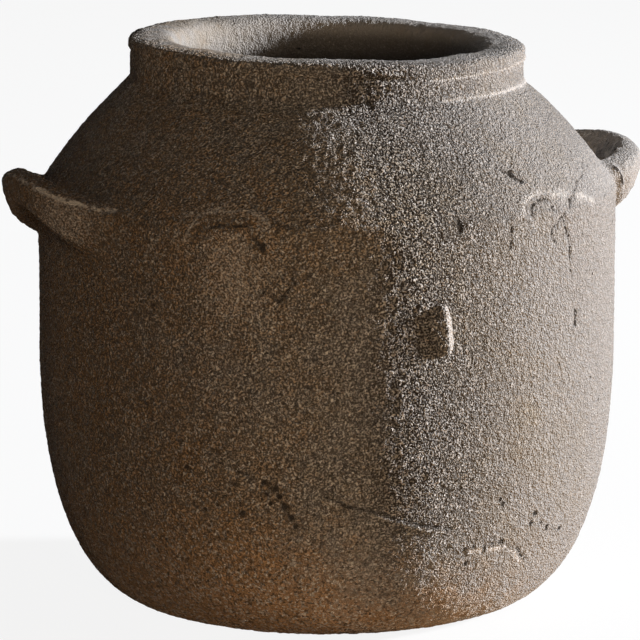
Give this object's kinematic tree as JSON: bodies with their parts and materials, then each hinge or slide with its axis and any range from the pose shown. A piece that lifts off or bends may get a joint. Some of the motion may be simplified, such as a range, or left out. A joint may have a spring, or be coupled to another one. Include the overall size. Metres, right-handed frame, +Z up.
{
  "type": "two-eared clay jar vase",
  "caption": "Round clay jar vase with a rounded heel, straight belly, leaning shoulder, short collar, thick rolled rim and upturned strap lugs; holds stems or dry branches.",
  "frame": {"origin": "centre of the flat foot, on the surface that the jar stands on", "axes": "+Z up along the jar's axis, +X towards the right lug, -Y towards the front wall with the clay pellet"},
  "size_m": [0.2312, 0.2034, 0.196],
  "materials": {
    "foot_clay": "matt unglazed coarse clay, rusty",
    "belly_clay": "matt unglazed coarse sandy clay",
    "shoulder_clay": "matt unglazed coarse sandy clay",
    "rim_clay": "matt unglazed clay, smoother from handling",
    "lug_clay": "matt unglazed clay, finger-smoothed"
  },
  "bodies": {
    "root": {"base_disc": "foot_clay", "heel_wall": "belly_clay", "belly_wall": "belly_clay", "shoulder": "shoulder_clay", "neck_collar": "shoulder_clay", "rim_coil": "rim_clay", "left_lug_handle": "lug_clay", "right_lug_handle": "lug_clay", "clay_pellet": "belly_clay"}
  },
  "joints": []
}
